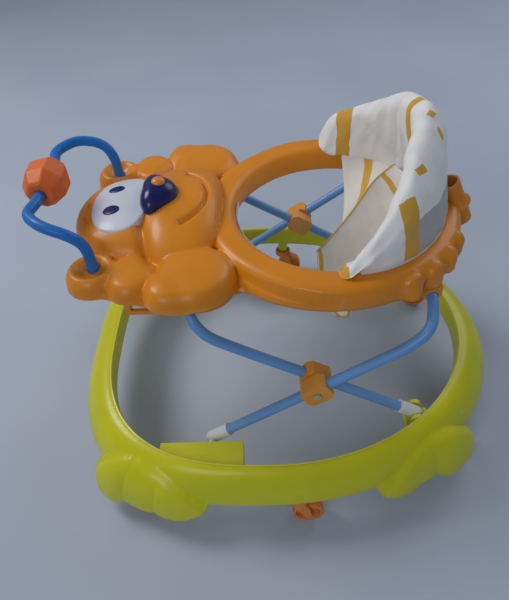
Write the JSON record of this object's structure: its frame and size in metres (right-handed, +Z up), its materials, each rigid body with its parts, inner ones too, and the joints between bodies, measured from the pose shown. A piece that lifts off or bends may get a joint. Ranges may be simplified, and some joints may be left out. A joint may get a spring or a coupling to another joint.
{
  "type": "baby walker",
  "caption": "Ring-base baby walker on swivel casters with a crossed folding tube frame, a bear-shaped play tray, a padded seat and a toy bar.",
  "frame": {"origin": "on the floor, below the centre of the walker's outer box", "axes": "+Z up, -Y towards the front of the walker (the bear's head), +X to the child's left"},
  "size_m": [0.6534, 0.752, 0.5393],
  "materials": {
    "lime_plastic": "glossy moulded plastic, yellow-green",
    "steel": "bright zinc plated steel",
    "blue_tube": "light blue powder coat",
    "white_plastic": "white moulded plastic",
    "pivot_plastic": "orange moulded plastic",
    "tray_plastic": "glossy warm orange moulded plastic",
    "face_white": "white moulded plastic with a light gloss",
    "nose_blue": "dark blue moulded plastic",
    "button_orange": "orange moulded plastic",
    "bar_blue": "bright blue plastic",
    "bead_orange": "clear orange moulded plastic",
    "seat_fabric": "woven cotton-like cover, ivory with ochre stripes",
    "caster_orange": "orange moulded plastic"
  },
  "bodies": {
    "base": {"base_ring": "lime_plastic", "foot_track_left": "lime_plastic", "foot_track_right": "lime_plastic", "rear_bracket_left": "lime_plastic", "rear_bracket_right": "lime_plastic", "rear_foot_pin_left": "steel", "rear_foot_pin_right": "steel", "caster_sockets": "lime_plastic"},
    "inner_frame": {"inner_tube": "blue_tube", "inner_foot_cap_left": "white_plastic", "inner_foot_cap_right": "white_plastic", "inner_pivot_block_left": "pivot_plastic", "inner_pivot_block_right": "pivot_plastic"},
    "outer_frame": {"outer_tube": "blue_tube", "outer_foot_cap_left": "white_plastic", "outer_foot_cap_right": "white_plastic", "outer_pivot_block_left": "pivot_plastic", "outer_pivot_block_right": "pivot_plastic", "pivot_screws": "steel", "hinge_bush_left": "pivot_plastic", "hinge_bush_right": "pivot_plastic"},
    "tray": {"tray_top": "tray_plastic", "tray_bottom": "tray_plastic", "hinge_saddle_left": "tray_plastic", "hinge_saddle_right": "tray_plastic", "height_rack_left": "tray_plastic", "height_rack_right": "tray_plastic", "tray_screws": "steel", "face_plate": "face_white", "eye_left": "nose_blue", "eye_right": "nose_blue", "nose": "nose_blue", "toy_bar": "bar_blue", "bar_sockets": "bar_blue", "rear_socket": "tray_plastic", "seat_back": "seat_fabric", "seat_sling": "seat_fabric"},
    "nose_button": {"nose_button": "button_orange"},
    "bead": {"bead": "bead_orange"},
    "caster_front_left": {"fork_front_left": "caster_orange", "axle_front_left": "steel"},
    "wheel_front_left": {"wheel_front_left": "caster_orange"},
    "caster_front_right": {"fork_front_right": "caster_orange", "axle_front_right": "steel"},
    "wheel_front_right": {"wheel_front_right": "caster_orange"},
    "caster_mid_left": {"fork_mid_left": "caster_orange", "axle_mid_left": "steel"},
    "wheel_mid_left": {"wheel_mid_left": "caster_orange"},
    "caster_mid_right": {"fork_mid_right": "caster_orange", "axle_mid_right": "steel"},
    "wheel_mid_right": {"wheel_mid_right": "caster_orange"},
    "caster_rear_left": {"fork_rear_left": "caster_orange", "axle_rear_left": "steel"},
    "wheel_rear_left": {"wheel_rear_left": "caster_orange"},
    "caster_rear_right": {"fork_rear_right": "caster_orange", "axle_rear_right": "steel"},
    "wheel_rear_right": {"wheel_rear_right": "caster_orange"}
  },
  "joints": [
    {"name": "frame_fold", "type": "hinge", "parent": "base", "child": "inner_frame", "pos_m": [0, 0.2085, 0.122], "axis": [1, 0, 0], "range_deg": [0, 24]},
    {"name": "frame_cross", "type": "hinge", "parent": "inner_frame", "child": "outer_frame", "pos_m": [0, 0.0425, 0.2225], "axis": [1, 0, 0], "range_deg": [-48, 0]},
    {"name": "tray_level", "type": "hinge", "parent": "outer_frame", "child": "tray", "pos_m": [0, 0.2035, 0.352], "axis": [1, 0, 0], "range_deg": [0, 24]},
    {"name": "nose_press", "type": "slide", "parent": "tray", "child": "nose_button", "axis": [0, 0, -1], "range_m": [0, 0.003], "stiffness_N_per_m": 250},
    {"name": "bead_spin", "type": "hinge", "parent": "tray", "child": "bead", "pos_m": [0, -0.3475, 0.46], "axis": [1, 0, 0], "continuous": true},
    {"name": "swivel_front_left", "type": "hinge", "parent": "base", "child": "caster_front_left", "pos_m": [0.266, -0.2355, 0.07], "axis": [0, 0, 1], "continuous": true},
    {"name": "roll_front_left", "type": "hinge", "parent": "caster_front_left", "child": "wheel_front_left", "pos_m": [0.266, -0.2205, 0.025], "axis": [1, 0, 0], "continuous": true},
    {"name": "swivel_front_right", "type": "hinge", "parent": "base", "child": "caster_front_right", "pos_m": [-0.266, -0.2355, 0.07], "axis": [0, 0, 1], "continuous": true},
    {"name": "roll_front_right", "type": "hinge", "parent": "caster_front_right", "child": "wheel_front_right", "pos_m": [-0.266, -0.2205, 0.025], "axis": [1, 0, 0], "continuous": true},
    {"name": "swivel_mid_left", "type": "hinge", "parent": "base", "child": "caster_mid_left", "pos_m": [0.304, 0.0125, 0.07], "axis": [0, 0, 1], "continuous": true},
    {"name": "roll_mid_left", "type": "hinge", "parent": "caster_mid_left", "child": "wheel_mid_left", "pos_m": [0.304, 0.0275, 0.025], "axis": [1, 0, 0], "continuous": true},
    {"name": "swivel_mid_right", "type": "hinge", "parent": "base", "child": "caster_mid_right", "pos_m": [-0.304, 0.0125, 0.07], "axis": [0, 0, 1], "continuous": true},
    {"name": "roll_mid_right", "type": "hinge", "parent": "caster_mid_right", "child": "wheel_mid_right", "pos_m": [-0.304, 0.0275, 0.025], "axis": [1, 0, 0], "continuous": true},
    {"name": "swivel_rear_left", "type": "hinge", "parent": "base", "child": "caster_rear_left", "pos_m": [0.182, 0.2805, 0.07], "axis": [0, 0, 1], "continuous": true},
    {"name": "roll_rear_left", "type": "hinge", "parent": "caster_rear_left", "child": "wheel_rear_left", "pos_m": [0.182, 0.2955, 0.025], "axis": [1, 0, 0], "continuous": true},
    {"name": "swivel_rear_right", "type": "hinge", "parent": "base", "child": "caster_rear_right", "pos_m": [-0.182, 0.2805, 0.07], "axis": [0, 0, 1], "continuous": true},
    {"name": "roll_rear_right", "type": "hinge", "parent": "caster_rear_right", "child": "wheel_rear_right", "pos_m": [-0.182, 0.2955, 0.025], "axis": [1, 0, 0], "continuous": true}
  ],
  "couplings": [
    {"joint": "frame_cross", "follows": "frame_fold", "ratio": -2},
    {"joint": "tray_level", "follows": "frame_fold", "ratio": 1}
  ]
}
